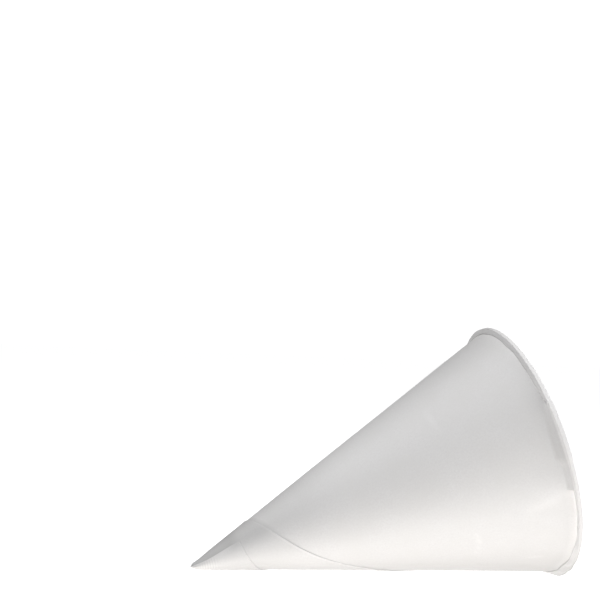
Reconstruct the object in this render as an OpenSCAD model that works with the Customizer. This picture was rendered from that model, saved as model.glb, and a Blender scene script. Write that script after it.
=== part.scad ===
// Cone paper cup: one paper sheet wound into a cone, its tail wrapped round the
// tip and its upper edge rolled outwards into the rim. The cup lies on its side,
// on the tip and on a short flattened stretch of the rim.
// Millimetres, +Z up, origin below the middle of the cup on the surface it lies on.
// Angles round the cup are counted from the side that faces -Y, and grow downwards.

/* [Cone] */
// Diameter over the rolled rim
rim_d = 70; // [50:0.5:100]
// Angle between the wall and the axis of the cone
half_angle = 19.15; // [14:0.05:26]
// Thickness of the paper
paper_t = 0.2; // [0.12:0.01:0.3]
// Diameter of the blunt tip, without the tail's layers
tip_d = 1.3; // [0.8:0.1:3]
// How far the rounded end stands out beyond the blunt tip
tip_nose = 0.3; // [0.1:0.05:0.8]
// Length of the tip that is closed by crowded paper
tip_closed = 2.5; // [1.5:0.1:6]

/* [Rolled rim] */
// Height of the rolled rim, along the wall
rim_h = 2; // [1.8:0.1:4]
// Thickness of the rolled rim, across the wall
rim_w = 1.4; // [1.2:0.05:2.4]
// How far the roll turns
roll_turn = 300; // [240:5:305]
// How far the roll turns where it has sprung open
loose_turn = 235; // [200:5:300]
// Angle at which the thick stretch of the rim begins
thick_from = -28; // [-60:1:-10]
// Angle at which the thick stretch of the rim ends
thick_to = -2; // [-5:1:8]
// Angle at which the open stretch of the roll ends
loose_to = 12; // [10:1:60]
// Added half height and half thickness of the thick stretch
thick_by = 0.15; // [0:0.05:0.3]
// Length of the flattened stretch that the rim lies on, as on a round rim
flat_l = 13; // [8:0.5:18]

/* [Out of round] */
// Share of the radius by which the cup is pressed oval
oval = 0.03; // [0:0.005:0.04]
// Angle of the widest place of the oval
oval_at = -48; // [-60:1:-30]
// Share of the radius by which the cup is pressed three-sided
three_sided = 0.013; // [0:0.001:0.016]
// Angle of a widest place of the three-sided form
three_sided_at = 33; // [25:1:40]

/* [Wound sheet] */
// Distance of the sheet's long outer edge from the tip, on the flat sheet
seam_d = 19.9; // [17.5:0.1:24]
// Distance of the tail's end edge from the tip, on the flat sheet
tail_d = 16.1; // [10:0.1:17]
// Angle round the cup at which the long edge comes nearest to the tip
seam_turn = 228; // [215:1:245]
// Angle round the cup at which the tail is cut off
tail_cut = -33; // [-60:1:-10]
// Angle over which the inner end of the sheet is lapped
lap_turn = 30; // [12:1:90]
// Slope length of a cut paper edge
edge_run = 0.1; // [0.05:0.01:0.2]

/* [Hidden] */

paper_white = [0.95, 0.94, 0.92];
down = 90;
column_step = 4;
column_gap = 0.3;
roll_steps = 10;

sin_a = sin(half_angle);
cos_a = cos(half_angle);
half_t = paper_t / 2;

// The roll's middle line is an ellipse beside the wall, tangent to it at slant rim_s.
roll_s = rim_h / 2 - half_t;
roll_n = rim_w / 2 - half_t;
rim_reach = norm([rim_h / 2 * sin_a, rim_w / 2 * cos_a]);
rim_s = (rim_d / 2 - rim_reach - roll_n * cos_a) / sin_a;
tip_s = (tip_d / 2 - half_t * cos_a) / sin_a;
closed_s = tip_s + tip_closed;
// The seam stops just below the roll, which hides its last stretch.
seam_end_s = rim_s - roll_s - 3 * paper_t;

// On the flat sheet the outer edge and the tail's end edge are straight and square to each other.
seam_f = seam_turn * sin_a;
tail_f = seam_f - 90;
corner_f = tail_f + atan2(seam_d, tail_d);
// Column angles run once round the cup, up to the place where the outer edge meets the rim.
last_turn = (seam_f + acos(seam_d / rim_s)) / sin_a;
first_turn = last_turn - 360;

// The same direction as angle a, within the one turn of the columns.
function in_turn(a) = a - 360 * floor((a - first_turn) / 360);

// Whether column c lies between two angles, counted upwards from the first.
function between(c, from, to) = in_turn(c - from + first_turn) - first_turn < to - from;

// Slant distance of the sheet's outer boundary at h degrees along the winding.
function edge_s(h) =
    let (f = h * sin_a)
    f < corner_f ? tail_d / cos(f - tail_f) : seam_d / cos(f - seam_f);

// The winding sinks by one paper thickness in each turn.
function winding(c) = paper_t * (last_turn - c) / 360;

// Factor on the radius in column c of the cup that is out of round.
function out_of_round(c) =
    1 + oval * cos(2 * (c - oval_at)) + three_sided * cos(3 * (c - three_sided_at));

// Outer radius of the rim in column c, before it is pressed flat.
function rim_r(c) = (rim_d / 2 + (winding(c) - paper_t) * cos_a) * out_of_round(c);

// The flat stretch is a chord of the rim.
down_c = in_turn(down);
flat_r = sqrt(pow(rim_r(down_c), 2) - pow(flat_l / 2, 2));
flat_half_turn = asin(flat_l / 2 / rim_r(down_c));

function thick(c) = between(c, thick_from, thick_to) ? thick_by : 0;
function roll_end(c) = between(c, thick_from, loose_to) ? loose_turn : roll_turn;
function inner_lap(c) = between(c, first_turn, first_turn + lap_turn) ? paper_t : 0;
function tail_on(c) = c - 360 >= tail_cut;

// Points [slant, normal] along the roll, grow wider than its middle line, from turn a to b.
function roll_points(c, grow, a, b) = [
    for (i = [0:roll_steps])
        let (t = a + (b - a) * i / roll_steps, add = thick(c) + grow)
        [rim_s + (roll_s + add) * sin(t), roll_n + thick(c) - (roll_n + add) * cos(t)]
];

// One closed section of the cup: outer wall with its two paper edges, inside of the roll,
// outside of the roll, inner wall.
function section(c) =
    let (lap = winding(c), wall = lap - paper_t, tail = lap + (tail_on(c) ? paper_t : 0))
    let (s1 = min(edge_s(c), seam_end_s), s2 = tail_on(c) ? edge_s(c - 360) : edge_s(tail_cut))
    let (grow_in = half_t + inner_lap(c))
    concat(
        [
            [tip_s, tail + half_t],
            [s2, tail + half_t],
            [s2 + edge_run, lap + half_t],
            [s1, lap + half_t],
            [s1 + edge_run, wall + half_t]
        ],
        [for (p = roll_points(c, -half_t, 0, roll_end(c))) p + [0, wall]],
        [for (p = roll_points(c, grow_in, roll_end(c), 0)) p + [0, wall]],
        [[closed_s, wall - grow_in]]
    );

// The cone is pressed flat along the stretch that it lies on.
function pressed(c) = sin(c) > cos(2 * flat_half_turn) ? min(1, flat_r / (rim_r(c) * sin(c))) : 1;

// Point [slant, normal] of column c as [down, towards +Y, along the axis].
function place(p, c) =
    let (r = (p[0] * sin_a + p[1] * cos_a) * out_of_round(c) * pressed(c))
    [r * sin(c), -r * cos(c), p[0] * cos_a - p[1] * sin_a];

function ascending(v) =
    len(v) < 2 ? v :
    concat(
        ascending([for (x = v) if (x < v[0]) x]),
        [v[0]],
        ascending([for (x = v) if (x > v[0]) x])
    );

// Angles where the section changes at once have a column on either side.
steps = [first_turn + lap_turn, tail_cut, thick_from, thick_to, loose_to];
bends = [down - flat_half_turn, down, down + flat_half_turn];
stops = ascending(concat(
    [first_turn],
    [for (a = steps, side = [-1, 1]) in_turn(a + side * column_gap)],
    [for (a = bends) in_turn(a)]
));
columns = [
    for (i = [0:len(stops) - 1])
        let (a = stops[i], b = i < len(stops) - 1 ? stops[i + 1] : last_turn)
        let (n = ceil((b - a) / column_step))
        for (k = [0:n - 1]) a + (b - a) * k / n
];
column_count = len(columns);
ring = len(section(first_turn));

upright = concat(
    [for (c = columns) for (p = section(c)) place(p, c)],
    [[0, 0, tip_s * cos_a - tip_nose], [0, 0, closed_s * cos_a]]
);
nose = column_count * ring;
floor_point = nose + 1;

// Index of point k of column i.
function at(i, k) = i * ring + k;

// Two triangles between neighbouring columns i and j, from point k to the next.
function patch(i, j, k) = [[at(i, k), at(j, k + 1), at(j, k)], [at(i, k), at(i, k + 1), at(j, k + 1)]];

// Past the last column the outer edge goes on as the tail's edge, so the first five points shift.
wrap_i = column_count - 1;
wrap = [
    [at(wrap_i, 0), at(wrap_i, 1), at(0, 0)],
    for (k = [0:2]) [at(wrap_i, 1), at(0, k + 1), at(0, k)],
    [at(wrap_i, 1), at(wrap_i, 2), at(0, 3)],
    [at(wrap_i, 2), at(0, 4), at(0, 3)],
    for (k = [2:4]) [at(wrap_i, k), at(wrap_i, k + 1), at(0, 4)],
    [at(wrap_i, 5), at(0, 5), at(0, 4)]
];
faces = concat(
    [for (i = [0:column_count - 2], k = [0:ring - 2]) each patch(i, i + 1, k)],
    [for (k = [5:ring - 2]) each patch(wrap_i, 0, k)],
    wrap,
    [for (i = [0:column_count - 1]) [nose, at(i, 0), at((i + 1) % column_count, 0)]],
    [for (i = [0:column_count - 1]) [floor_point, at((i + 1) % column_count, ring - 1), at(i, ring - 1)]]
);

// Lying down, the cup touches the surface at the tip and at the flattened rim.
tip_touch = place(section(down_c)[0], down_c);
rim_touch = place([rim_s, winding(down_c) - paper_t + rim_w - half_t], down_c);
lean = atan((rim_touch[0] - tip_touch[0]) / (rim_touch[2] - tip_touch[2]));

// Point of the upright cup, laid down with its axis lean degrees above the surface.
function laid(p) = [p[2] * cos(lean) + p[0] * sin(lean), p[1], p[2] * sin(lean) - p[0] * cos(lean)];

lying = [for (p = upright) laid(p)];
low = [for (k = [0:2]) min([for (p = lying) p[k]])];
high = [for (k = [0:2]) max([for (p = lying) p[k]])];
origin = [(low[0] + high[0]) / 2, (low[1] + high[1]) / 2, low[2]];

module paper_cone() {
    color(paper_white)
        polyhedron(points = [for (p = lying) p - origin], faces = faces, convexity = 8);
}

paper_cone();
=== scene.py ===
"""Looks of the cone paper cup: the wound sheet in fine detail, its paper and a pale studio."""

import logging
from dataclasses import dataclass
from enum import Enum
from typing import Dict, List, Tuple, Union

import bpy
import numpy as np
from mathutils import Matrix, Vector

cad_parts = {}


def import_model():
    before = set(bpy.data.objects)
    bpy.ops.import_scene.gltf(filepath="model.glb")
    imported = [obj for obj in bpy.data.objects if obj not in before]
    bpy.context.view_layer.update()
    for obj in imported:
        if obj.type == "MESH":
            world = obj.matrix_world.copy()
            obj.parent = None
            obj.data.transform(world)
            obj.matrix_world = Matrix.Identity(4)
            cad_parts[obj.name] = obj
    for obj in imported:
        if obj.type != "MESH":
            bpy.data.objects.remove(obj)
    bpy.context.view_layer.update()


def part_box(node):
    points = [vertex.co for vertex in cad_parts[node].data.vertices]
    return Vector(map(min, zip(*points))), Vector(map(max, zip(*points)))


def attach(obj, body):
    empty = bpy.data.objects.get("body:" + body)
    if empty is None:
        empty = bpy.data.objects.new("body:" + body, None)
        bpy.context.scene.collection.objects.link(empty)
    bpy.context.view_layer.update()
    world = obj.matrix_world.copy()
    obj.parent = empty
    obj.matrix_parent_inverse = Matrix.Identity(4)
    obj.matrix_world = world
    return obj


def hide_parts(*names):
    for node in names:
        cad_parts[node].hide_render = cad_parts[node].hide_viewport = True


LOG = logging.getLogger("cone_cup")
MM = 0.001

Number = Union[float, np.ndarray]
Place = Tuple[Number, Number]
Edge = Tuple[int, np.ndarray]
Window = Tuple[float, float, float, float]
EVERYWHERE: Window = (-1e4, -1e3, 1e3, 1e4)


class Roll(Enum):
    """How the rim's roll meets the wall."""

    TUCKED = "tucked"
    LOOSE = "loose"


class Strip(Enum):
    """Strips of one section, in order from the tip up the outside and down the inside."""

    FLAP = "flap"
    FLAP_EDGE = "flap edge"
    MIDDLE = "middle layer"
    SEAM_EDGE = "seam edge"
    WALL = "wall"
    UNDER = "inside of the roll"
    ROLL = "outside of the roll"
    INSIDE = "inner wall"


def smooth(x: Number, low: Number, high: Number) -> np.ndarray:
    """Smooth step 3tt - 2ttt, where t goes from 0 at low to 1 at high.

    Args:
        x: Values to step over.
        low: Value where the step begins.
        high: Value where the step ends.

    Returns:
        The step, with level ends.
    """
    t = np.clip((x - low) / (high - low), 0.0, 1.0)
    return t * t * (3.0 - 2.0 * t)


def bump(x: Number, middle: float, reach: Number) -> np.ndarray:
    """Bell (1 - tt) squared, where t goes from 0 in the middle to 1 at reach.

    Args:
        x: Values to lay the bell over.
        middle: Place of the top.
        reach: Half width of the bell.

    Returns:
        The bell's height at each value.
    """
    t = np.clip(np.abs(x - middle) / reach, 0.0, 1.0)
    return (1.0 - t * t) ** 2


def window(x: Number, span: Window) -> np.ndarray:
    """Rises smoothly from 0 to 1 between the first two values, and falls between the last two."""
    return smooth(x, span[0], span[1]) * (1.0 - smooth(x, span[2], span[3]))


def rising(low: float, full: float) -> Window:
    """Window that opens between two values and then stays open."""
    return (low, full, *EVERYWHERE[2:])


def falling(full: float, end: float) -> Window:
    """Window that is open at first and closes between two values."""
    return (*EVERYWHERE[:2], full, end)


def facing(columns: np.ndarray) -> np.ndarray:
    """Angle round the cup of each column, from -180 to 180."""
    return (columns + 180.0) % 360.0 - 180.0


@dataclass(frozen=True)
class RimStretch:
    """A stretch of the rim, in degrees round the cup, with the form of its roll in millimetres."""

    start: float
    end: float
    roll: Roll = Roll.TUCKED
    thick_by: float = 0.0


@dataclass(frozen=True)
class Patch:
    """A soft patch of tone or height: its strength times a window in angle and one in slant."""

    strength: float
    turn: Window
    slant: Window = EVERYWHERE

    def over(self, eta: np.ndarray, s: Number = 0.0) -> np.ndarray:
        """Strength times both windows at the given angles and slants."""
        return self.strength * window(eta, self.turn) * window(s, self.slant)


@dataclass(frozen=True)
class Band:
    """A slow band of tone along the cup: a bell in angle that sets in between two slants."""

    strength: float
    middle: float
    reach: float
    start: float
    full: float

    def over(self, eta: np.ndarray, s: np.ndarray) -> np.ndarray:
        """Strength times the bell times the smooth step along the slant."""
        return self.strength * bump(eta, self.middle, self.reach) * smooth(s, self.start, self.full)


@dataclass(frozen=True)
class Mark:
    """A faint light scuff between two places of angle and slant, with its half width."""

    start: Tuple[float, float]
    end: Tuple[float, float]
    width: float
    strength: float

    def over(self, eta: np.ndarray, s: np.ndarray, per_degree: float) -> np.ndarray:
        """Bell exp(-dd) of the distance d from the line between the places, in half widths.

        Args:
            eta: Angles of the points.
            s: Slants of the points.
            per_degree: Length of one degree at the mark, on the unrolled wall.

        Returns:
            What the mark adds to the paper's tone.
        """
        turn, rise = (self.end[0] - self.start[0]) * per_degree, self.end[1] - self.start[1]
        x, y = (eta - self.start[0]) * per_degree, s - self.start[1]
        along = np.clip((x * turn + y * rise) / (turn ** 2 + rise ** 2), 0.0, 1.0)
        off = (x - along * turn) ** 2 + (y - along * rise) ** 2
        return self.strength * np.exp(-off / self.width ** 2)


@dataclass(frozen=True)
class Wave:
    """A long wave of the wall: its share, waves round the cup, radians per millimetre and start."""

    share: float
    around: float
    along: float
    start: float

    def over(self, angle: np.ndarray, s: np.ndarray) -> np.ndarray:
        """Share times the sine of the angle and slant, each by its factor, and the start."""
        return self.share * np.sin(self.around * angle + self.along * s + self.start)


@dataclass(frozen=True)
class PaperRelief:
    """Small dents, folds and ribs of the paper, as heights in millimetres.

    Slants are counted from the sharp tip, and those of the fields named for the rim from the rim.
    """

    wave_height: float = 0.03
    wave_from: Tuple[float, float] = (4.0, 25.0)
    waves: Tuple[Wave, ...] = (
        Wave(1.0, 3.0, 0.06, 0.0),
        Wave(0.7, 5.0, -0.11, 1.3),
        Wave(0.5, 2.0, 0.19, 0.4),
    )
    rim_swell: Patch = Patch(0.28, (-42.0, -29.0, -27.6, -20.0))
    rim_swell_at: float = -2.2
    rim_swell_below: float = 5.0
    rim_swell_above: float = 2.0
    rim_bulge: Band = Band(0.35, 9.0, 12.0, -16.0, -4.0)
    crumple: Patch = Patch(0.035, (2.0, 20.0, 68.0, 85.0), rising(68.0, 90.0))
    crumple_waves: Tuple[Wave, Wave] = (Wave(1.0, 29.0, 0.35, 0.0), Wave(1.0, -17.0, 0.62, 0.0))
    rim_folds: Patch = Patch(0.18, (46.0, 60.0, 95.0, 120.0), rising(-2.5, -1.2))
    fold_turn: float = 11.0
    fold_skew: float = 2.5
    ribs: Patch = Patch(0.02, (-34.0, -30.0, 30.0, 60.0), (3.4, 4.4, 7.8, 9.2))
    rib_gap: float = 0.66
    rib_from: float = 4.4

    def dents(self, s: np.ndarray, eta: np.ndarray, rim_s: float) -> np.ndarray:
        """Sum of long waves, a swell and a bulge below the rim, crumpled paper and rim folds.

        Args:
            s: Slants of the points.
            eta: Angles of the points.
            rim_s: Slant of the rim.

        Returns:
            Height that is added to the paper.
        """
        angle, from_rim = np.radians(eta), s - rim_s
        slow = sum(wave.over(angle, s) for wave in self.waves)
        slow = self.wave_height * smooth(s, *self.wave_from) * slow
        side = np.where(from_rim < self.rim_swell_at, self.rim_swell_below, self.rim_swell_above)
        swell = self.rim_swell.over(eta) * bump(from_rim, self.rim_swell_at, side)
        across, back = (wave.over(angle, s) for wave in self.crumple_waves)
        crumple = self.crumple.over(eta, s) * across * back
        at_rim = swell + self.rim_bulge.over(eta, from_rim) + self.folds(eta, from_rim)
        return slow + at_rim + crumple

    def folds(self, eta: np.ndarray, from_rim: np.ndarray) -> np.ndarray:
        """Flat-sided folds of the crushed rim: a triangle wave round the cup, slightly skewed.

        Args:
            eta: Angles of the points.
            from_rim: Slants of the points, from the rim.

        Returns:
            Height of the folds.
        """
        phase = 2.0 * np.pi * (eta + self.fold_skew * from_rim) / self.fold_turn
        triangle = np.arcsin(np.sin(phase)) * 2.0 / np.pi
        return self.rim_folds.over(eta, from_rim) * triangle

    def rib(self, s: np.ndarray, eta: np.ndarray) -> np.ndarray:
        """Fine ribs pressed into the wrapped tip when it was wound: a cosine along the slant."""
        return self.ribs.over(eta, s) * np.cos(2.0 * np.pi * (s - self.rib_from) / self.rib_gap)


@dataclass(frozen=True)
class PaperToneAndPaintedLight:
    """Tone of the paper, mostly painted light and shade, as what is added to a factor of 1 on its
    colour.

    Slants are counted from the sharp tip, and those of the fields named for the rim from the rim.
    """

    # Painted shade on a darker wedge above the flap's edge at the tip. The first of these patches
    # ends at the flap's cut edge, at -33 degrees.
    tip: Tuple[Patch, ...] = (
        Patch(-0.30, (-140.0, -98.0, -33.05, -32.95), falling(10.0, 17.0)),
        Patch(-0.24, (-140.0, -98.0, -42.0, 5.0), (10.0, 15.0, 20.0, 36.0)),
    )
    # Painted shade on the point at the tip's nose.
    nose: float = -0.24
    # Painted shading of the tip's ribs: tone follows their height, lighter on crests and darker in
    # hollows.
    rib: float = 3.2
    cut_edge: float = 0.05
    # Painted shadow along the foot of each cut edge; the cut edges themselves are lighter paper.
    flap_foot_shadow: float = -0.12
    seam_foot_shadow: float = -0.04
    seam_foot_shadow_lower: Patch = Patch(-0.18, rising(-40.0, -5.0))
    seam_from: float = -100.0
    foot_shadow_faint: Patch = Patch(-0.75, rising(40.0, 72.0))
    # Painted shade along the underside the cup lies on, darkest towards the floor.
    underside_shade: Tuple[Patch, ...] = (
        Patch(-0.20, (45.0, 82.0, 105.0, 150.0)),
        Patch(-0.07, (10.0, 40.0, 105.0, 150.0), falling(14.0, 34.0)),
    )
    # Painted shade on the wall beside the tip's darker wedge.
    wall_near_tip_shade: Patch = Patch(-0.11, (-140.0, -98.0, -42.0, 15.0), falling(26.0, 50.0))
    # Painted shade on the wall just below the rim, beside the sprung stretch.
    rim_wall_shade: Patch = Patch(-0.05, (-44.0, -30.0, -27.4, -20.0), rising(-6.5, -2.0))
    # Slow bands of painted shade and painted light along the wall.
    light_and_shade_bands: Tuple[Band, ...] = (
        Band(-0.045, -17.0, 24.0, 25.0, 60.0),
        Band(0.035, 16.0, 16.0, 45.0, 60.0),
        Band(-0.06, -86.0, 24.0, 60.0, 95.0),
    )
    # Painted light on a strip of the wall along the crease under the roll, fainter from 30 to 55
    # degrees.
    crease_light_strip: Patch = Patch(1.0, (12.3, 14.5, 85.0, 100.0), rising(-2.4, -0.8))
    crease_painted_light: float = 0.12
    crease_painted_light_fade: Patch = Patch(-0.06, rising(30.0, 55.0))
    marks: Tuple[Mark, ...] = (
        Mark((-58.5, 74.4), (-46.0, 73.9), 0.42, 0.034),
        Mark((-46.0, 73.9), (-38.5, 75.0), 0.42, 0.034),
        Mark((30.5, 76.1), (37.0, 76.7), 0.42, 0.040),
        Mark((37.0, 76.7), (49.0, 76.0), 0.42, 0.034),
        Mark((54.5, 90.3), (53.5, 93.7), 0.5, 0.050),
        Mark((12.8, 101.8), (20.0, 90.3), 1.4, 0.040),
    )
    # Painted shade in the bend of the sprung stretch.
    flare_shade: float = -0.14
    flare_shade_steps: Tuple[Patch, ...] = (
        Patch(-0.06, rising(-24.0, -10.0)),
        Patch(0.06, rising(-2.5, 1.0)),
    )
    flare_levels: Tuple[int, ...] = (0, 5, 15, 18)
    flare_shares: Tuple[float, ...] = (0.3, 1.0, 1.0, 0.0)
    # Painted shade on the roll's back, its foot and where it is crushed.
    roll_back_shade: Patch = Patch(-0.11, falling(-5.0, 25.0))
    roll_back_levels: int = 14
    roll_foot_shade: float = -0.10
    roll_foot_shade_lower: Patch = Patch(-0.12, rising(40.0, 55.0))
    roll_foot_levels: int = 2
    roll_crushed_shade: Patch = Patch(-0.20, (48.0, 72.0, 105.0, 150.0))
    roll_crushed_levels: int = 30
    # Painted light on the roll's outer face.
    lit_roll_face: Patch = Patch(1.0, (-95.0, -70.0, 6.0, 20.0), (70.0, 95.0, 175.0, 185.0))
    roll_face_painted_light: float = 0.11
    roll_face_painted_light_fade: Patch = Patch(-0.05, rising(-26.0, -10.0))

    def edges(self, tone_with_painted_light: np.ndarray, eta: np.ndarray, flap: Edge, seam: Edge) -> None:
        """Lightens the two cut paper edges and paints a shadow along the foot of each.

        Args:
            tone_with_painted_light: Tone of the points, with its painted light and shade, which is
                changed.
            eta: Angles of the columns.
            flap: First level of the flap's edge, and where it is shown.
            seam: First level of the seam's edge, and where it is shown.
        """
        shadow_faint = 1.0 + self.foot_shadow_faint.over(eta)
        seam_foot_shadow = self.seam_foot_shadow + self.seam_foot_shadow_lower.over(eta)
        for (at, shown), foot in ((flap, self.flap_foot_shadow), (seam, seam_foot_shadow)):
            tone_with_painted_light[:, at - 1:at + 1] += self.cut_edge * shown
            # Painted shadow along each edge's foot, fainter from 40 to 72 degrees round the cup.
            tone_with_painted_light[:, at + 1:at + 3] += foot * shadow_faint * shown

    def wall(self, eta: np.ndarray, s: np.ndarray, rim_s: float, crease: np.ndarray,
             sin_a: float) -> np.ndarray:
        """Slow painted light and shade of the wall, its strip of painted light along the crease and
        its scuffs, added up.

        Args:
            eta: Angles of the columns.
            s: Slants of the wall's points.
            rim_s: Slant of the rim.
            crease: Slant of the crease in each column.
            sin_a: Sine of the cone's half angle.

        Returns:
            What is added to the wall's tone.
        """
        # Painted light along the crease, fainter from 30 to 55 degrees.
        light = self.crease_painted_light + self.crease_painted_light_fade.over(eta)
        total = self.wall_near_tip_shade.over(eta, s) + self.rim_wall_shade.over(eta, s - rim_s)
        total = total + light * self.crease_light_strip.over(eta, s - crease)
        for band in self.light_and_shade_bands:
            total = total + band.over(eta, s)
        for mark in self.marks:
            total = total + mark.over(eta, s, np.radians(mark.start[1] * sin_a))
        return total

    def sprung(self, eta: np.ndarray, loose: np.ndarray, levels: int) -> np.ndarray:
        """Painted shade: a darker band in the bend of the sprung stretch, by level and angle.

        Args:
            eta: Angles of the columns.
            loose: Which columns lie in the sprung stretch.
            levels: Number of the bend's levels.

        Returns:
            What is added to the bend's tone.
        """
        share = np.interp(np.arange(levels), self.flare_levels, self.flare_shares)
        depth = self.flare_shade + sum(step.over(eta) for step in self.flare_shade_steps)
        return share * np.where(loose, depth, 0.0)

    def roll(self, eta: np.ndarray, loose: np.ndarray, turn: np.ndarray) -> np.ndarray:
        """Two-tone roll: painted shade on its back and foot, painted light on its outer face,
        painted shade where it is crushed.

        Args:
            eta: Angles of the columns.
            loose: Which columns lie in the sprung stretch.
            turn: How far the roll has turned at each point of its outside.

        Returns:
            What is added to the tone of the roll's outside.
        """
        level = np.arange(turn.shape[1])
        # The back, the foot and the crushed part get painted shade, the outer face painted light.
        back = np.where(loose, 0.0, self.roll_back_shade.over(eta)) * (level < self.roll_back_levels)
        foot = np.where(loose, 0.0, self.roll_foot_shade + self.roll_foot_shade_lower.over(eta))
        foot = foot * (level < self.roll_foot_levels)
        light = self.roll_face_painted_light + self.roll_face_painted_light_fade.over(eta)
        crushed_shade = self.roll_crushed_shade.over(eta) * (level < self.roll_crushed_levels)
        return back + foot + light * self.lit_roll_face.over(eta, turn) + crushed_shade


@dataclass
class WoundCone:
    """A paper sheet wound into a cone, in millimetres and degrees.

    A point is given by its slant distance from the sharp tip, its height over the wall's
    middle line and its angle round the cup, which is 0 towards -Y and grows downwards.
    """

    rim_d: float = 70.0
    half_angle: float = 19.15
    paper_t: float = 0.2
    tip_d: float = 1.3
    tip_nose: float = 0.3
    tip_closed: float = 2.5
    tip_round: float = 1.7
    tip_round_below: float = 0.6
    tip_round_share: float = 1.04
    tip_least_r: float = 0.08
    tip_thin: Tuple[Tuple[float, float, float], ...] = ((0.25, 14.0, 50.0), (0.22, 2.0, 9.0))
    tip_thin_side: Tuple[float, float] = (0.1, 0.9)
    tip_twist: float = 20.0
    tip_twist_over: Tuple[float, float] = (2.0, 15.0)
    tip_ridge: float = 0.1
    tip_ridge_over: Window = (0.5, 4.0, 5.0, 20.0)
    tip_ridge_sides: Tuple[float, float] = (52.0, 100.0)
    rim_h: float = 2.0
    rim_w: float = 1.4
    roll_turn: float = 300.0
    face_turn: float = 54.0
    face_end: Tuple[float, float] = (0.8, 0.62)
    face_pull: Tuple[float, float] = (0.98, 0.48)
    under_bulge: float = 0.04
    under_gap: float = 0.12
    flat_l: float = 13.0
    oval: float = 0.03
    oval_at: float = -48.0
    three_sided: float = 0.013
    three_sided_at: float = 33.0
    seam_d: float = 19.9
    seam_stop: float = 1.0
    tail_d: float = 15.6
    seam_turn: float = 228.0
    tail_cut: float = -33.0
    lap_turn: float = 30.0
    edge_run: float = 0.08
    edge_start: float = 0.01
    edge_drops: Tuple[float, ...] = (0.05, 0.5, 1.0, 1.0)
    foot: float = 0.3
    stretches: Tuple[RimStretch, ...] = (
        RimStretch(-27.5, -0.5, Roll.LOOSE, 0.15),
        RimStretch(-0.5, 12.3, Roll.LOOSE),
    )
    thick_fade: float = 2.2
    flare_turn: float = 195.0
    flare_lap: float = 6.0
    flare_at: Tuple[Tuple[float, float], ...] = (
        (-28.0, 1.2), (-20.0, 3.0), (-12.0, 3.5), (-3.0, 3.5), (1.0, 2.2), (12.5, 2.2),
    )
    crease_at: Tuple[Tuple[float, float], ...] = (
        (-180.0, 0.8), (-80.0, 0.75), (-70.0, 0.85), (-64.0, 1.05), (-58.0, 0.8),
        (-50.0, 0.95), (-38.0, 0.95), (-27.5, 0.55), (12.0, 0.5), (20.0, 0.3),
        (38.0, 0.35), (43.0, 0.45), (49.0, 0.9), (57.0, 1.0), (63.0, 1.8),
        (74.0, 2.0), (80.0, 3.0), (92.0, 3.2), (110.0, 1.0), (180.0, 0.8),
    )
    levels: Tuple[int, ...] = (90, 4, 11, 4, 70, 21, 36, 17)
    tip_crowding: float = 1.5
    column_step: float = 1.0
    column_gap: float = 0.06
    sharp_angle: float = 40.0
    relief: PaperRelief = PaperRelief()
    tone_and_painted_light: PaperToneAndPaintedLight = PaperToneAndPaintedLight()

    def __post_init__(self) -> None:
        """Works out the lengths and angles that follow from the sizes.

        The roll is an ellipse beside the wall. On the flat sheet the seam and the tail's end
        edge are straight and square to each other. The flat that the cup lies on is a chord.
        """
        angle = np.radians(self.half_angle)
        self.sin_a, self.cos_a = np.sin(angle), np.cos(angle)
        self.half_t = self.paper_t / 2
        self.roll_s = self.rim_h / 2 - self.half_t
        self.roll_n = self.rim_w / 2 - self.half_t
        reach = np.hypot(self.rim_h / 2 * self.sin_a, self.rim_w / 2 * self.cos_a)
        self.rim_s = (self.rim_d / 2 - reach - self.roll_n * self.cos_a) / self.sin_a
        self.tip_s = (self.tip_d / 2 - self.half_t * self.cos_a) / self.sin_a
        self.closed_s = self.tip_s + self.tip_closed
        self.seam_end_s = self.rim_s - self.roll_s - self.seam_stop
        self.seam_f = self.seam_turn * self.sin_a
        self.tail_f = self.seam_f - 90.0
        self.corner_f = self.tail_f + np.degrees(np.arctan2(self.seam_d, self.tail_d))
        spread = np.degrees(np.arccos(self.seam_d / self.rim_s))
        self.last_turn = (self.seam_f + spread) / self.sin_a
        self.first_turn = self.last_turn - 360.0
        down_r = self.rim_r(self.in_turn(90.0))
        self.flat_r = np.sqrt(down_r ** 2 - (self.flat_l / 2) ** 2)
        self.flat_half = np.degrees(np.arcsin(self.flat_l / 2 / down_r))
        ends = np.cumsum((0,) + self.levels).tolist()
        self.strips: Dict[Strip, slice] = {
            strip: slice(first, last) for strip, first, last in zip(Strip, ends[:-1], ends[1:])
        }

    def in_turn(self, angle: Number) -> Number:
        """The same direction, within the one turn of the columns."""
        return angle - 360.0 * np.floor((angle - self.first_turn) / 360.0)

    def winding(self, columns: Number) -> Number:
        """Height of the outer layer, which sinks by one paper thickness in each turn."""
        return self.paper_t * (self.last_turn - columns) / 360.0

    def out_of_round(self, columns: Number) -> Number:
        """Factor on the radius: 1 plus a cosine of two times and one of three times the angle.

        Args:
            columns: Angles of the columns.

        Returns:
            The factor in each column.
        """
        two = np.cos(np.radians(2.0 * (columns - self.oval_at)))
        three = np.cos(np.radians(3.0 * (columns - self.three_sided_at)))
        return 1.0 + self.oval * two + self.three_sided * three

    def rim_r(self, columns: Number) -> Number:
        """Outer radius of the rim before it is pressed flat where it lies."""
        layer = (self.winding(columns) - self.paper_t) * self.cos_a
        return (self.rim_d / 2 + layer) * self.out_of_round(columns)

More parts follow.
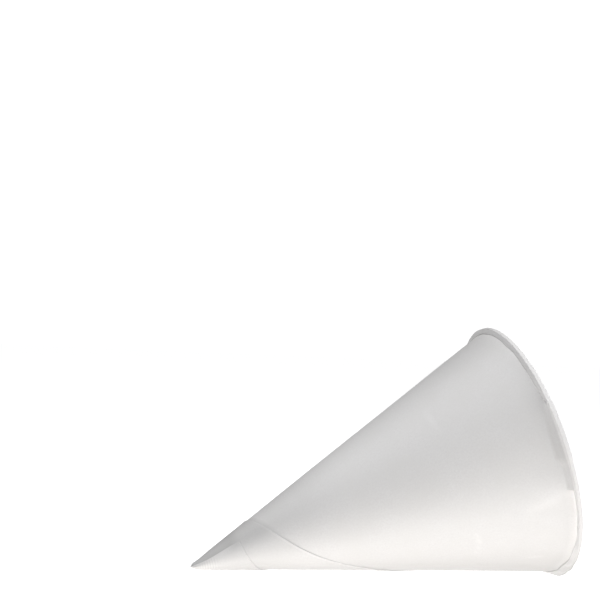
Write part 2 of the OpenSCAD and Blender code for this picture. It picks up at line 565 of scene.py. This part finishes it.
    def edge_s(self, turn: Number) -> np.ndarray:
        """Slant of the sheet's outer boundary: a straight line on the flat sheet is d / cos.

        Args:
            turn: Angle along the winding.

        Returns:
            Slant of the tail's end edge, or of the long outer edge past the sheet's corner.
        """
        flat = turn * self.sin_a
        tail_angle = np.minimum(flat, self.corner_f) - self.tail_f
        seam_angle = np.maximum(flat, self.corner_f) - self.seam_f
        tail = self.tail_d / np.cos(np.radians(tail_angle))
        seam = self.seam_d / np.cos(np.radians(seam_angle))
        return np.where(flat < self.corner_f, tail, seam)

    def on_tail(self, columns: np.ndarray) -> np.ndarray:
        """Which columns are covered by the tail, which is cut off at one angle."""
        return columns - 360.0 >= self.tail_cut

    def loose(self, eta: np.ndarray) -> np.ndarray:
        """Which angles lie in a stretch where the roll has sprung open."""
        stretches = [stretch for stretch in self.stretches if stretch.roll is Roll.LOOSE]
        return np.any([(eta > one.start) & (eta < one.end) for one in stretches], axis=0)

    def thickness(self, eta: np.ndarray) -> np.ndarray:
        """Added half thickness of the roll, which fades out by a smooth step at a stretch's end.

        Args:
            eta: Angles of the columns.

        Returns:
            What is added in each column.
        """
        thick = np.zeros_like(eta)
        for stretch in reversed(self.stretches):
            fade_end = stretch.end + self.thick_fade
            left = 1.0 - smooth(eta, stretch.end - self.thick_fade, fade_end)
            inside = (eta > stretch.start) & (eta < fade_end)
            thick = np.where(inside, stretch.thick_by * left, thick)
        return thick

    def crease(self, eta: np.ndarray) -> np.ndarray:
        """How far the roll's underside reaches down the wall, between the places of the table."""
        return np.interp(eta, *zip(*self.crease_at))

    def flare_s(self, eta: np.ndarray) -> np.ndarray:
        """Slant where the wall begins to bend into the sprung roll, by the table's distances."""
        return self.rim_s - np.interp(eta, *zip(*self.flare_at))

    def columns(self) -> np.ndarray:
        """Angles of the columns: even steps, with a close pair where the section changes at once.

        Returns:
            The angles, rising through one turn.
        """
        breaks = {self.first_turn + self.lap_turn, self.tail_cut}
        breaks |= {end for stretch in self.stretches for end in (stretch.start, stretch.end)}
        pairs = [self.in_turn(at + side * self.column_gap) for at in breaks for side in (-1, 1)]
        bends = [self.in_turn(90.0 + side * self.flat_half) for side in (-1, 0, 1)]
        stops = np.sort(np.array([self.first_turn, *pairs, *bends, self.last_turn], float))
        counts = np.maximum(1, np.ceil(np.diff(stops) / self.column_step)).astype(int)
        runs = [
            np.linspace(low, high, count, endpoint=False)
            for low, high, count in zip(stops[:-1], stops[1:], counts)
        ]
        return np.concatenate(runs)

    def rolled(self, turn: Number, thick: np.ndarray, grow: Number, low: np.ndarray) -> Place:
        """Points along the rim's roll.

        From the wall over the top it is a quarter of an ellipse, then a curve with one pull
        point, then a flat outer face, and then a slightly bulged straight underside.

        Args:
            turn: How far the roll has turned at each point.
            thick: Added half height and half thickness.
            grow: Distance from the middle line.
            low: How far the underside reaches down the wall.

        Returns:
            Slant and height of the points.
        """
        t = np.radians(np.minimum(turn, 90.0))
        face = np.clip((180.0 - turn) / self.face_turn, 0.0, 1.0)
        bend = np.clip((180.0 - turn - self.face_turn) / (90.0 - self.face_turn), 0.0, 1.0)
        start, pull, end = (1 - bend) ** 2, 2 * bend * (1 - bend), bend ** 2
        up_bend = start * self.face_end[0] + pull * self.face_pull[0] + end
        out_bend = start * self.face_end[1] + pull * self.face_pull[1]
        up = np.where(bend > 0.0, up_bend, self.face_end[0] * face)
        out = np.where(bend > 0.0, out_bend, 1.0 - (1.0 - self.face_end[1]) * face)
        up = np.where(turn > 90.0, up, np.sin(t))
        out = np.where(turn > 90.0, out, -np.cos(t))
        under = np.clip((turn - 180.0) / (self.roll_turn - 180.0), 0.0, 1.0)
        bulge = self.under_bulge * np.sin(np.pi * under)
        s = (self.roll_s + thick + grow) * up - under * (low + grow) - bulge
        n = self.roll_n + thick + (self.roll_n + thick + grow) * out
        n = n - under * (2.0 * self.roll_n + 2.0 * thick - self.under_gap) + bulge
        return self.rim_s + s, n

    def roll_turns(self, loose: np.ndarray) -> np.ndarray:
        """How far the roll has turned at each level of its outside, from its end back to 0."""
        ends = np.where(loose, self.flare_turn - self.flare_lap, self.roll_turn)
        return ends * (1.0 - np.linspace(0.0, 1.0, self.count(Strip.ROLL))[None, :])

    @staticmethod
    def run(start: Place, end: Place, share: np.ndarray) -> Place:
        """Straight run of points: the start plus a share of the way to the end."""
        s, n = (a + (b - a) * share for a, b in zip(start, end))
        return s, n

    def cut_edge(self, s: np.ndarray, top: np.ndarray, foot: np.ndarray) -> Place:
        """Points down a cut paper edge, each at its share of the drop, and along its foot.

        Args:
            s: Slant of the edge.
            top: Height of the layer that ends.
            foot: Height of the layer below.

        Returns:
            Slant and height of the points for each column.
        """
        end = self.edge_run + self.foot
        along = np.array([[self.edge_start, self.edge_run / 2, self.edge_run, end]])
        return s + along, top + (foot - top) * np.array([self.edge_drops])

    def bent_open(self, eta: np.ndarray, thick: np.ndarray, grow: np.ndarray) -> Place:
        """Bend of the wall into the sprung roll: even steps in slant, a smooth step in height.

        Args:
            eta: Angles of the columns.
            thick: Added half height and half thickness of the roll.
            grow: Distance of the roll's outside from its middle line.

        Returns:
            Slant and height of the bend's points.
        """
        share = self.shares(Strip.UNDER)
        first_s = self.flare_s(eta)
        turn = np.array(self.flare_turn)
        last_s, last_n = self.rolled(turn, thick, grow, self.crease(eta))
        rise = smooth(share, 0.0, 1.0)
        return first_s + (last_s - first_s) * share, self.half_t + (last_n - self.half_t) * rise

    def count(self, strip: Strip) -> int:
        """Number of a strip's levels."""
        return self.strips[strip].stop - self.strips[strip].start

    def shares(self, strip: Strip) -> np.ndarray:
        """Even shares of a strip's way, one for each of its levels, without the start."""
        return np.linspace(0.0, 1.0, self.count(strip) + 1)[None, 1:]

    def section(self, columns: np.ndarray) -> Tuple[np.ndarray, np.ndarray, np.ndarray]:
        """Section of the cup in each column, from the tip up the outside and down the inside.

        The strips follow each other along straight runs, cut edges and the roll.

        Args:
            columns: Angles of the columns.

        Returns:
            Slant, plain height and height with the fine dents, one row for each column.
        """
        c = columns[:, None]
        eta = facing(c)
        lap = self.winding(c)
        wall = lap - self.paper_t
        on_tail = self.on_tail(c)
        flap_n = lap + np.where(on_tail, self.paper_t, 0.0) + self.half_t
        lap_n, wall_n = lap + self.half_t, wall + self.half_t
        s1 = np.minimum(self.edge_s(c), self.seam_end_s)
        s2 = np.where(on_tail, self.edge_s(c - 360.0), self.edge_s(np.array(self.tail_cut)))
        lapped = c - self.first_turn < self.lap_turn
        grow_in = self.half_t + np.where(lapped, self.paper_t, 0.0)
        loose, thick, low = self.loose(eta), self.thickness(eta), self.crease(eta)
        past_edge = self.edge_run + self.foot

        tip_share = np.linspace(0.0, 1.0, self.count(Strip.FLAP))[None, :] ** self.tip_crowding
        flap_s, flat_n = self.run((self.tip_s, flap_n), (s2, flap_n), tip_share)
        flap = (flap_s, flat_n + self.relief.rib(flap_s, eta))
        middle = self.run((s2 + past_edge, lap_n), (s1, lap_n), self.shares(Strip.MIDDLE))
        open_s, open_n = self.bent_open(eta, thick, grow_in)
        top = np.where(loose, self.flare_s(eta), self.rim_s)
        top = np.maximum(top, s1 + 2 * self.foot)
        upper = self.run((s1 + past_edge, wall_n), (top, wall_n), self.shares(Strip.WALL))
        tucked = self.shares(Strip.UNDER) * self.roll_turn
        under_s, under_n = self.rolled(tucked, thick, -self.half_t, low)
        under = (np.where(loose, open_s, under_s), np.where(loose, open_n, under_n) + wall)
        roll_s, roll_n = self.rolled(self.roll_turns(loose), thick, grow_in, low)
        inner = wall - grow_in
        inside = self.run((self.rim_s, inner), (self.closed_s, inner), self.shares(Strip.INSIDE))

        parts = (
            flap, self.cut_edge(s2, flap_n, lap_n), middle, self.cut_edge(s1, lap_n, wall_n),
            upper, under, (roll_s, roll_n + wall), inside,
        )
        rows = len(columns)
        s, n = (
            np.concatenate([np.broadcast_to(v, (rows, v.shape[1])) for v in one], axis=1)
            for one in zip(*parts)
        )
        fine = n + self.relief.dents(s, eta, self.rim_s) + self.ridge(s, eta)
        return s, n, self.blunted(s, fine, eta)

    def ridge(self, s: np.ndarray, eta: np.ndarray) -> np.ndarray:
        """Ridge of the flap's edge on the tip: a share of the radius that falls off to each side.

        Args:
            s: Slants of the points.
            eta: Angles of the columns.

        Returns:
            Height of the ridge.
        """
        off = eta - self.tail_cut
        above, below = self.tip_ridge_sides
        slope = np.clip(1.0 - np.where(off < 0.0, -off / above, off / below), 0.0, 1.0)
        return self.tip_ridge * self.sin_a * s * slope * window(s, self.tip_ridge_over)

    def blunted(self, s: np.ndarray, n: np.ndarray, eta: np.ndarray) -> np.ndarray:
        """Rounds off the tip and presses its upper side in.

        The radius falls along a quarter of an ellipse, which is longer below, and then loses
        what the upper side is thinned by.

        Args:
            s: Slants of the points.
            n: Heights of the points.
            eta: Angles of the columns.

        Returns:
            The new heights.
        """
        reach = self.tip_round * (1.0 + self.tip_round_below * np.sin(np.radians(eta)))
        left = (self.tip_s + reach - s) / (self.tip_round_share * reach)
        left = np.clip(left, 0.0, 1.0)
        radius = (s * self.sin_a + n * self.cos_a) * np.sqrt(1.0 - left * left)
        least = np.minimum(radius, self.tip_least_r)
        radius = np.maximum(radius - self.thinned(s, eta), least)
        return (radius - s * self.sin_a) / self.cos_a

    def thinned(self, s: np.ndarray, eta: np.ndarray) -> np.ndarray:
        """How far the upper side is pressed in: a little along the tip, and more at its end."""
        upper = smooth(-np.sin(np.radians(eta)), *self.tip_thin_side)
        return upper * sum(by * (1.0 - smooth(s, low, high)) for by, low, high in self.tip_thin)

    def twist(self, s: np.ndarray) -> np.ndarray:
        """Angle by which the wrapped tip is twisted downwards, from nothing at the flap's end."""
        return self.tip_twist * (1.0 - smooth(s, *self.tip_twist_over))

    def tone_with_painted_light(self, columns: np.ndarray, s: np.ndarray) -> np.ndarray:
        """Tone of the paper with its painted light and shade: 1 plus what each strip's patches,
        bands, edges and marks add.

        Args:
            columns: Angles of the columns.
            s: Slants of the points of each column's section.

        Returns:
            Factor on the paper's colour, for each point.
        """
        c = columns[:, None]
        eta = facing(c)
        loose = self.loose(eta)
        look, strips = self.tone_and_painted_light, self.strips
        wall, under, roll = strips[Strip.WALL], strips[Strip.UNDER], strips[Strip.ROLL]
        tip, outer = slice(0, wall.start), slice(0, wall.stop)
        tone_with_painted_light = np.ones_like(s)
        # Painted shade on the tip's darker wedge, and painted shading of the tip's ribs.
        tone_with_painted_light[:, tip] += sum(patch.over(eta, s[:, tip]) for patch in look.tip)
        tone_with_painted_light[:, tip] += look.rib * self.relief.rib(s[:, tip], eta)
        flap_edge = (strips[Strip.FLAP_EDGE].start, self.on_tail(c))
        look.edges(tone_with_painted_light, eta, flap_edge, (strips[Strip.SEAM_EDGE].start, eta > look.seam_from))
        crease = self.rim_s - self.crease(eta)
        tone_with_painted_light[:, wall] = 1.0 + look.wall(eta, s[:, wall], self.rim_s, crease, self.sin_a)
        # Painted shade along the underside.
        tone_with_painted_light[:, outer] += sum(patch.over(eta, s[:, outer]) for patch in look.underside_shade)
        tone_with_painted_light[:, under] += look.sprung(eta, loose, self.count(Strip.UNDER))
        tone_with_painted_light[:, roll] += look.roll(eta, loose, self.roll_turns(loose))
        return tone_with_painted_light

    def upright(self, columns: np.ndarray, s: np.ndarray, n: np.ndarray,
                twist: Number = 0.0) -> np.ndarray:
        """Places the sections round the axis of the upright cup.

        The radius is the slant times the sine and the height times the cosine of the half
        angle, out of round, and shortened to the chord where the cup is pressed flat.

        Args:
            columns: Angles of the columns.
            s: Slants of the points.
            n: Heights of the points.
            twist: Angle by which the points are turned on round the axis.

        Returns:
            Points [down, back, along the axis] in millimetres from the sharp tip.
        """
        c = np.radians(columns)[:, None]
        near = np.sin(c) > np.cos(np.radians(2 * self.flat_half))
        down = self.rim_r(columns)[:, None] * np.where(near, np.sin(c), 1.0)
        pressed = np.where(near, np.minimum(1.0, self.flat_r / down), 1.0)
        r = (s * self.sin_a + n * self.cos_a) * self.out_of_round(columns)[:, None] * pressed
        c = c + np.radians(twist)
        along = s * self.cos_a - n * self.sin_a
        return np.stack([r * np.sin(c), -r * np.cos(c), along], axis=-1)

    def lean(self) -> float:
        """Angle of the axis above the ground: the slope of the line from tip to rim, underneath.

        Returns:
            The angle in radians.
        """
        down = np.array([self.in_turn(90.0)])
        lap = self.winding(down)[:, None]
        tail_n = lap + np.where(self.on_tail(down), self.paper_t, 0.0)[:, None] + self.half_t
        rim_n = lap - self.paper_t + self.rim_w - self.half_t
        tip = self.upright(down, np.array([[self.tip_s]]), tail_n)[0, 0]
        rim = self.upright(down, np.array([[self.rim_s]]), rim_n)[0, 0]
        return float(np.arctan2(rim[0] - tip[0], rim[2] - tip[2]))

    def laid(self, upright: np.ndarray) -> np.ndarray:
        """Lays the upright cup on its tip and on the flat of its rim: a turn by the lean.

        Args:
            upright: Points [down, back, along the axis] in millimetres from the sharp tip.

        Returns:
            The points of the lying cup.
        """
        lean = self.lean()
        x, y, z = upright[..., 0], upright[..., 1], upright[..., 2]
        cos_l, sin_l = np.cos(lean), np.sin(lean)
        return np.stack([z * cos_l + x * sin_l, y, z * sin_l - x * cos_l], axis=-1)

    @staticmethod
    def zipped(left: np.ndarray, right: np.ndarray, first_left: int,
               first_right: int) -> np.ndarray:
        """Triangles between two columns whose points lie at different slants.

        The points of both are taken in the order of their slants, and each adds a triangle with
        the last point before it on either side.

        Args:
            left: Slants of the left column's points, rising.
            right: Slants of the right column's points, rising.
            first_left: Index of the left column's first point.
            first_right: Index of the right column's first point.

        Returns:
            Triangles that close the strip between the two.
        """
        is_left = np.repeat([1, 0], [len(left) - 1, len(right) - 1])
        order = np.argsort(np.concatenate([left[1:], right[1:]]), kind="stable")
        is_left = is_left[order]
        i = first_left + np.cumsum(is_left) - is_left
        j = first_right + np.cumsum(1 - is_left) - (1 - is_left)
        return np.stack([i, j, np.where(is_left == 1, i, j) + 1], axis=-1)

    def faces(self, index: np.ndarray, s: np.ndarray) -> List[List[int]]:
        """Faces of the closed surface.

        Quads join neighbouring columns. Where the winding closes, the outer levels shift by one
        layer and are zipped. A fan closes the nose and the floor inside.

        Args:
            index: Index of each point, by column and level.
            s: Slants of the points.

        Returns:
            Corners of each face, with the outside to the front.
        """
        k = self.strips[Strip.WALL].start
        here, there = index[:-1], index[1:]
        quads = [here[:, :-1], there[:, :-1], there[:, 1:], here[:, 1:]]
        last, first = index[-1, k:], index[0, k:]
        seam = [last[:-1], first[:-1], first[1:], last[1:]]
        next_column = np.roll(index, -1, axis=0)
        nose, floor = np.full(len(index), index.size), np.full(len(index), index.size + 1)
        groups = (
            np.stack(quads, axis=-1).reshape(-1, 4),
            np.stack(seam, axis=-1),
            self.zipped(s[-1, :k + 1], s[0, :k + 1], int(index[-1, 0]), 0),
            np.stack([nose, next_column[:, 0], index[:, 0]], axis=-1),
            np.stack([floor, index[:, -1], next_column[:, -1]], axis=-1),
        )
        return [face for group in groups for face in group.tolist()]

    def mesh(self, name: str) -> bpy.types.Mesh:
        """Builds the closed surface of the whole wound sheet.

        The plain sections give the place in the frame: the middle of their box falls on the
        middle of the node's box, and the lowest point on its floor.

        Args:
            name: Name of the mesh.

        Returns:
            The mesh, in metres in the part's frame.
        """
        columns = self.columns()
        s, plain, fine = self.section(columns)
        axis_ends = (self.tip_s * self.cos_a - self.tip_nose, self.closed_s * self.cos_a)
        ends = self.laid(np.array([[0.0, 0.0, along] for along in axis_ends]))
        bare = self.laid(self.upright(columns, s, plain))
        low, high = (np.array(corner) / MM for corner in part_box("paper_cone"))
        shift = (low + high) / 2 - (bare.min(axis=(0, 1)) + bare.max(axis=(0, 1))) / 2
        shift[2] = low[2] - bare[..., 2].min()
        lying = self.laid(self.upright(columns, s, fine, self.twist(s)))
        points = np.concatenate([lying.reshape(-1, 3), ends]) + shift
        points[:, 2] = np.maximum(points[:, 2], 0.0)
        index = np.arange(s.size).reshape(s.shape)
        mesh = bpy.data.meshes.new(name)
        mesh.from_pydata((points * MM).tolist(), [], self.faces(index, s))
        mesh.update()
        # The nose point gets painted shade.
        tone_with_painted_light = np.append(self.tone_with_painted_light(columns, s), [1.0 + self.tone_and_painted_light.nose, 1.0])
        attribute = mesh.attributes.new("tone_with_painted_light", "FLOAT", "POINT")
        attribute.data.foreach_set("value", tone_with_painted_light.astype(np.float32))
        mesh.polygons.foreach_set("use_smooth", np.ones(len(mesh.polygons), bool))
        mesh.set_sharp_from_angle(angle=np.radians(self.sharp_angle))
        return mesh


@dataclass(frozen=True)
class PaperFinish:
    """Dry-waxed bleached paper: off-white, faintly cloudy, with a fine fibre grain.

    The sheet is pressed smooth, cut and wound, and thin wax sinks into it. To the eye that gives a
    matt white with a soft sheen, slow clouds where fibres lie closer, and a fine tooth. A fibre is
    a few hundredths of a millimetre wide, too fine for the render, so the grain is drawn coarser.
    """

    light_fibre: str = "#fcfcfc"
    dark_fibre: str = "#e8e6e7"
    cloud: str = "#eeedec"
    roughness: float = 0.6
    cloud_mm: float = 7.0
    cloud_detail: float = 3.0
    grain_mm: float = 0.45
    grain_detail: float = 2.0
    grain_height_mm: float = 0.006

    def material(self) -> bpy.types.Material:
        """Makes the paper: fibre grain mixed with slow clouds, times the sheet's tone with its
        painted light and shade, and a bump.

        Returns:
            The material.
        """
        paper = bpy.data.materials.new("waxed_paper")
        paper.use_nodes = True
        tree = paper.node_tree
        shader = tree.nodes["Principled BSDF"]
        shader.inputs["Roughness"].default_value = self.roughness
        place = add_node(tree, "ShaderNodeTexCoord", {}).outputs["Object"]
        cloud = add_node(tree, "ShaderNodeTexNoise", {
            "Vector": place, "Scale": 1.0 / (self.cloud_mm * MM), "Detail": self.cloud_detail,
        }).outputs["Fac"]
        grain = add_node(tree, "ShaderNodeTexNoise", {
            "Vector": place, "Scale": 1.0 / (self.grain_mm * MM), "Detail": self.grain_detail,
        }).outputs["Fac"]
        # A colour mix has its factor at input 0, its colours at 6 and 7 and its result at 2.
        fibre = add_node(tree, "ShaderNodeMix", {
            0: grain, 6: linear(self.light_fibre), 7: linear(self.dark_fibre),
        }, data_type="RGBA").outputs[2]
        sheet = add_node(tree, "ShaderNodeMix", {
            0: cloud, 6: fibre, 7: linear(self.cloud),
        }, data_type="RGBA").outputs[2]
        # This attribute carries the sheet's tone, most of it painted light and shade.
        tone_with_painted_light = add_node(tree, "ShaderNodeAttribute", {}, attribute_name="tone_with_painted_light").outputs["Color"]
        shaded = add_node(tree, "ShaderNodeMix", {
            0: 1.0, 6: sheet, 7: tone_with_painted_light,
        }, data_type="RGBA", blend_type="MULTIPLY").outputs[2]
        relief = add_node(tree, "ShaderNodeBump", {
            "Strength": 1.0, "Distance": self.grain_height_mm * MM, "Height": grain,
        }).outputs["Normal"]
        tree.links.new(shaded, shader.inputs["Base Color"])
        tree.links.new(relief, shader.inputs["Normal"])
        return paper


def linear(code: str) -> Tuple[float, float, float, float]:
    """Linear colour from an sRGB hex code: v / 12.92, or ((v + 0.055) / 1.055) to the power 2.4.

    Args:
        code: The hex code, such as #f2f1ee.

    Returns:
        Red, green and blue, and alpha 1.
    """
    values = [int(code[i:i + 2], 16) / 255.0 for i in (1, 3, 5)]
    parts = [v / 12.92 if v <= 0.04045 else ((v + 0.055) / 1.055) ** 2.4 for v in values]
    return (*parts, 1.0)


def add_node(tree: bpy.types.NodeTree, kind: str, inputs: Dict[Union[int, str], object],
             **settings: str) -> bpy.types.Node:
    """Adds a shader node with its settings and links.

    Args:
        tree: Tree that gets the node.
        kind: Blender's name of the node type.
        inputs: Values or output sockets for the node's inputs, by name or number.
        settings: The node's own settings.

    Returns:
        The node.
    """
    node = tree.nodes.new(kind)
    for name, setting in settings.items():
        setattr(node, name, setting)
    for socket, value in inputs.items():
        if isinstance(value, bpy.types.NodeSocket):
            tree.links.new(value, node.inputs[socket])
        else:
            node.inputs[socket].default_value = value
    return node


@dataclass(frozen=True)
class SoftLight:
    """A square soft light: where it stands in degrees, power in watts, size and distance in metres.

    The azimuth is counted from the front towards +X, the elevation from the floor.
    """

    name: str
    azimuth: float
    elevation: float
    power: float
    colour: str = "#ffffff"
    size: float = 0.6
    distance: float = 1.0


@dataclass
class Studio:
    """A white floor and white surroundings, seven soft lights and the photograph's camera.

    Places are in millimetres, the floor's half side and the camera's reach in metres.
    """

    eye: Tuple[float, float, float] = (-222.33, -623.19, 62.3)
    aim: Tuple[float, float, float] = (-20.82, 10.6, 71.02)
    roll: float = 2.398
    lens: float = 150.0
    sensor: float = 36.0
    clip_end: float = 50.0
    lights_aim: Tuple[float, float, float] = (10.0, 0.0, 25.0)
    lights: Tuple[SoftLight, ...] = (
        SoftLight("under_table", 0.0, -70.0, 7.9, "#fffbf6"),
        SoftLight("front", -25.0, 10.0, 2.66),
        SoftLight("left_above", -90.0, 60.0, 6.05),
        SoftLight("right_front", 45.0, 10.0, 5.0),
        SoftLight("right_side", 70.0, 15.0, 2.5),
        SoftLight("left_low", -100.0, -40.0, 3.4),
        SoftLight("behind", 175.0, -30.0, 4.5),
    )
    floor_half: float = 6.0
    floor_colour: str = "#f4f4f4"
    floor_roughness: float = 0.9
    white: str = "#ffffff"
    seen_white: float = 1.1

    def camera(self) -> bpy.types.Object:
        """Sets up the camera with the photograph's view: from eye to aim, turned by the roll.

        Returns:
            The camera.
        """
        data = bpy.data.cameras.new("photo_view")
        data.lens, data.sensor_width, data.clip_end = self.lens, self.sensor, self.clip_end
        eye, aim = Vector(self.eye) * MM, Vector(self.aim) * MM
        turn = Matrix.Rotation(np.radians(self.roll), 3, "Z").to_quaternion()
        camera = bpy.data.objects.new("photo_view", data)
        camera.location, camera.rotation_mode = eye, "QUATERNION"
        camera.rotation_quaternion = (aim - eye).to_track_quat("-Z", "Y") @ turn
        bpy.context.scene.collection.objects.link(camera)
        bpy.context.scene.camera = camera
        return camera

    def light(self, soft: SoftLight) -> bpy.types.Object:
        """Places one soft light at its distance from the cup, turned towards it.

        Args:
            soft: The light.

        Returns:
            The light's object.
        """
        a, e = np.radians(soft.azimuth), np.radians(soft.elevation)
        way = Vector((np.sin(a) * np.cos(e), -np.cos(a) * np.cos(e), np.sin(e)))
        data = bpy.data.lights.new(soft.name, "AREA")
        data.size, data.energy, data.color = soft.size, soft.power, linear(soft.colour)[:3]
        lamp = bpy.data.objects.new(soft.name, data)
        lamp.location = Vector(self.lights_aim) * MM + way * soft.distance
        lamp.rotation_mode = "QUATERNION"
        lamp.rotation_quaternion = (-way).to_track_quat("-Z", "Y")
        bpy.context.scene.collection.objects.link(lamp)
        return lamp

    def floor(self) -> bpy.types.Object:
        """Lays the white floor, one square that lets the light from below through.

        Returns:
            The floor.
        """
        half = self.floor_half
        corners = [(-half, -half, 0.0), (half, -half, 0.0), (half, half, 0.0), (-half, half, 0.0)]
        mesh = bpy.data.meshes.new("floor")
        mesh.from_pydata(corners, [], [(0, 1, 2, 3)])
        floor = bpy.data.objects.new("floor", mesh)
        bpy.context.scene.collection.objects.link(floor)
        sweep = bpy.data.materials.new("white_sweep")
        sweep.use_nodes = True
        shader = sweep.node_tree.nodes["Principled BSDF"]
        shader.inputs["Base Color"].default_value = linear(self.floor_colour)
        shader.inputs["Roughness"].default_value = self.floor_roughness
        shader.inputs["Emission Color"].default_value = linear(self.white)
        shader.inputs["Emission Strength"].default_value = 1.0
        mesh.materials.append(sweep)
        floor.visible_shadow = False
        floor.visible_diffuse = False
        floor.visible_glossy = False
        return floor

    def world(self) -> None:
        """Makes the surroundings white where they are seen, and dark as a source of light."""
        world = bpy.data.worlds.new("studio_white")
        world.use_nodes = True
        bpy.context.scene.world = world
        tree = world.node_tree
        back = tree.nodes["Background"]
        back.inputs["Color"].default_value = linear(self.white)
        seen = add_node(tree, "ShaderNodeLightPath", {}).outputs["Is Camera Ray"]
        level = add_node(tree, "ShaderNodeMapRange", {
            "Value": seen, "To Min": 0.0, "To Max": self.seen_white,
        }).outputs["Result"]
        tree.links.new(level, back.inputs["Strength"])

    def build(self) -> None:
        """Sets up floor, surroundings, lights and camera."""
        bpy.context.scene.view_settings.view_transform = "Standard"
        self.floor()
        self.world()
        for soft in self.lights:
            self.light(soft)
        self.camera()


def main() -> None:
    """Builds the cup and the studio and reports the piece."""
    mesh = WoundCone().mesh("paper_cone")
    piece = bpy.data.objects.new("paper_cone_fine", mesh)
    bpy.context.scene.collection.objects.link(piece)
    mesh.materials.append(PaperFinish().material())
    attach(piece, "root")
    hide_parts("paper_cone")
    Studio().build()
    LOG.info("%s: %d points, %d faces", piece.name, len(mesh.vertices), len(mesh.polygons))


if __name__ == "__main__":
    logging.basicConfig(level=logging.INFO)
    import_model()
    main()
